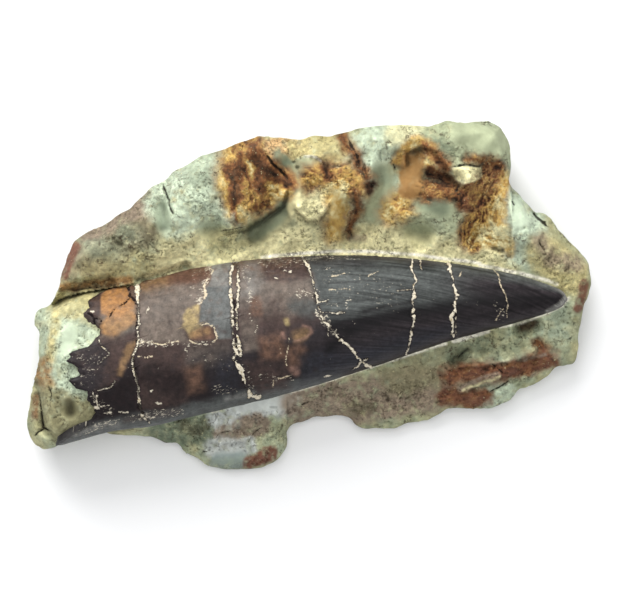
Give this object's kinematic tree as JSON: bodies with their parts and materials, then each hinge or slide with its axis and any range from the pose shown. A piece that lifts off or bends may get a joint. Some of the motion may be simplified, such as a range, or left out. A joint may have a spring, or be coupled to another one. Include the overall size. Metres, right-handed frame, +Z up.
{
  "type": "fossil dinosaur tooth in matrix",
  "caption": "Large curved theropod tooth crown, dark and glossy with healed pale cracks, half bedded in a rough block of green-grey mudstone stained with rust.",
  "frame": {"origin": "middle of the flat base that the block lies on", "axes": "+X along the crown towards its point, +Y towards its convex edge, +Z up out of the base"},
  "size_m": [0.1136, 0.0702, 0.0235],
  "materials": {
    "tooth": "glossy fossil enamel, smoky brown to blue-black, with cream mineral in its cracks",
    "matrix": "matt broken mudstone, green-grey with rust and ochre stains"
  },
  "bodies": {
    "root": {"tooth": "tooth", "matrix": "matrix"}
  },
  "joints": []
}
